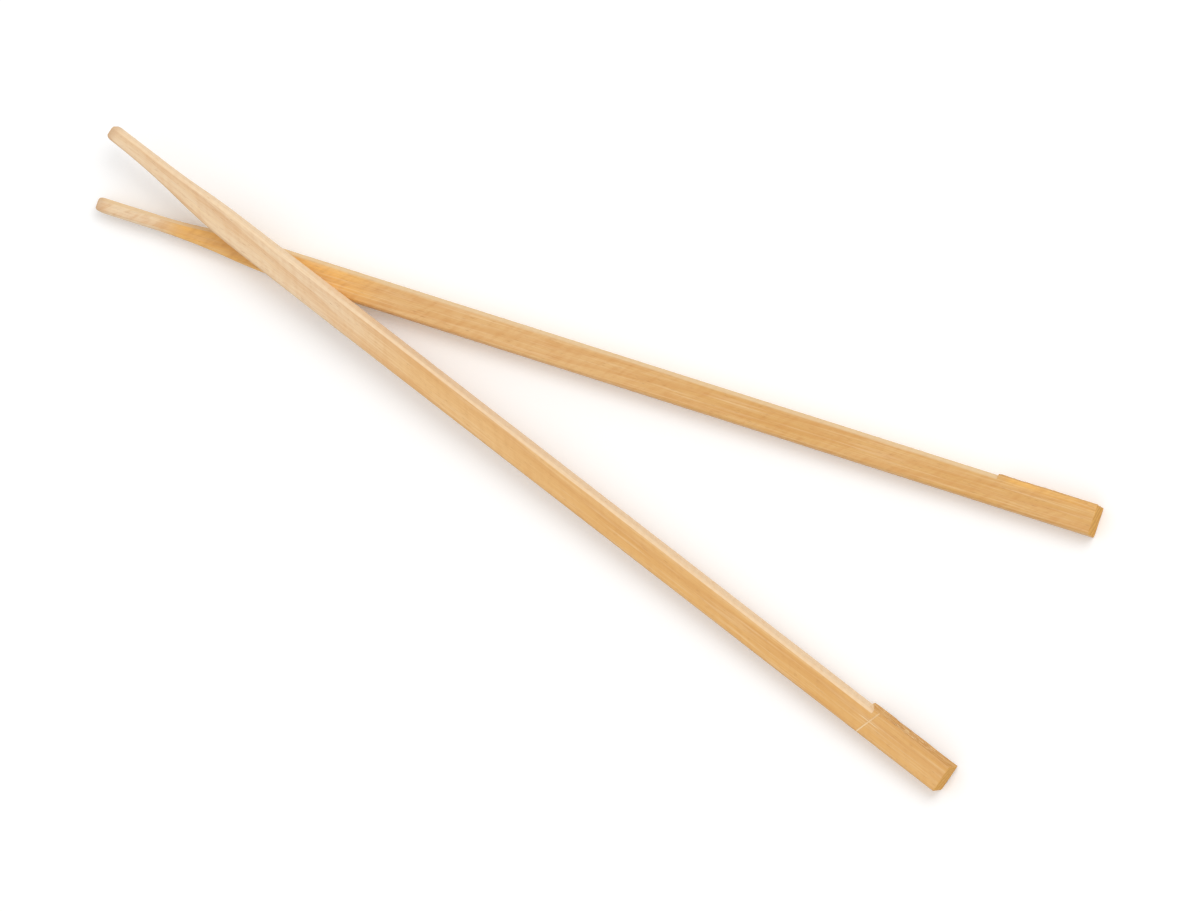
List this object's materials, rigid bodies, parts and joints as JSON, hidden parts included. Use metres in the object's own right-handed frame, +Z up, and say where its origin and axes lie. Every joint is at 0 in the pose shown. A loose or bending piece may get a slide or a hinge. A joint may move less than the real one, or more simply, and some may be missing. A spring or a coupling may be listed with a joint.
{
  "type": "pair of chopsticks",
  "caption": "Disposable wooden chopsticks split from one slat, with planed tapered tips and square torn heads, lying crossed near the tips.",
  "frame": {"origin": "on the surface that the pair lies on, under the middle of the pair's box", "axes": "+X along the lower chopstick from its tip to its butt, +Z up"},
  "size_m": [0.2034, 0.0708, 0.0095],
  "materials": {
    "wood": "bare planed wood, unvarnished"
  },
  "bodies": {
    "root": {"lower_chopstick": "wood", "upper_chopstick": "wood"}
  },
  "joints": []
}
